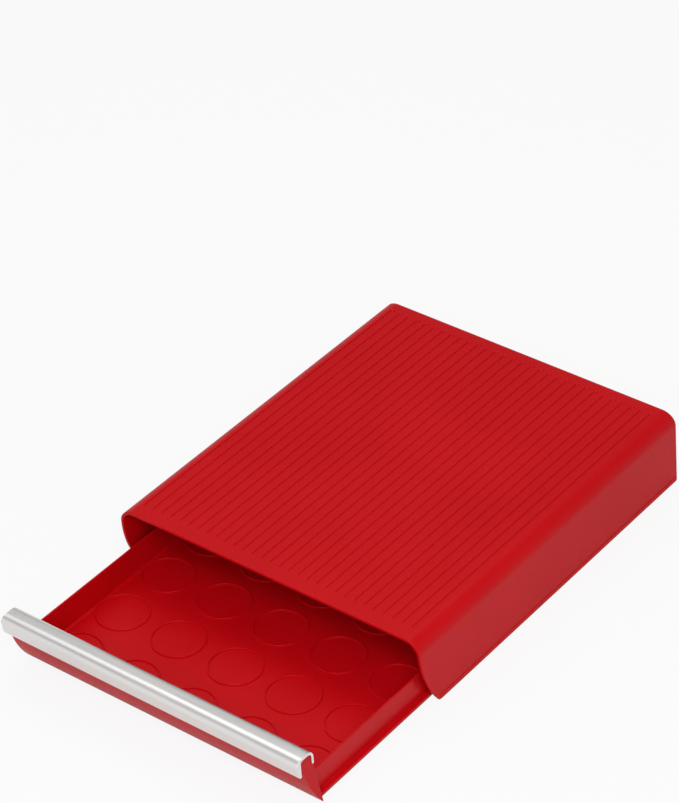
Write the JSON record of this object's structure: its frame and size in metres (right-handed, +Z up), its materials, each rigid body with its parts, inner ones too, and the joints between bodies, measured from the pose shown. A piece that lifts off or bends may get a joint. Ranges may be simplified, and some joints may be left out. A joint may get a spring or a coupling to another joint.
{
  "type": "coffee pod drawer",
  "caption": "Low moulded housing that carries a coffee maker on its grooved top, with a pull-out tray for coffee pods behind a hooked aluminium handle bar.",
  "frame": {"origin": "middle of the footprint on the counter, with the drawer drawn out as it rests", "axes": "+Z up, the drawer pulls out along -Y, +X to the right as seen from the front"},
  "size_m": [0.2686, 0.451, 0.0612],
  "materials": {
    "red_plastic": "fine-textured satin moulding",
    "bar_aluminium": "fine satin brushing along the bar",
    "screw_steel": "zinc plated",
    "foot_rubber": "matt"
  },
  "bodies": {
    "housing": {"housing_shell": "red_plastic", "runner_left": "red_plastic", "runner_right": "red_plastic", "runner_screw_left_front": "screw_steel", "runner_screw_left_middle": "screw_steel", "runner_screw_left_back": "screw_steel", "runner_screw_right_front": "screw_steel", "runner_screw_right_middle": "screw_steel", "runner_screw_right_back": "screw_steel", "foot_front_left": "foot_rubber", "foot_front_right": "foot_rubber", "foot_back_left": "foot_rubber", "foot_back_right": "foot_rubber"},
    "drawer": {"drawer_tray": "red_plastic", "handle_bar": "bar_aluminium", "handle_screw_left": "screw_steel", "handle_screw_middle": "screw_steel", "handle_screw_right": "screw_steel"}
  },
  "joints": [
    {"name": "drawer_slide", "type": "slide", "parent": "housing", "child": "drawer", "axis": [0, -1, 0], "range_m": [-0.1263, 0.1567]}
  ]
}
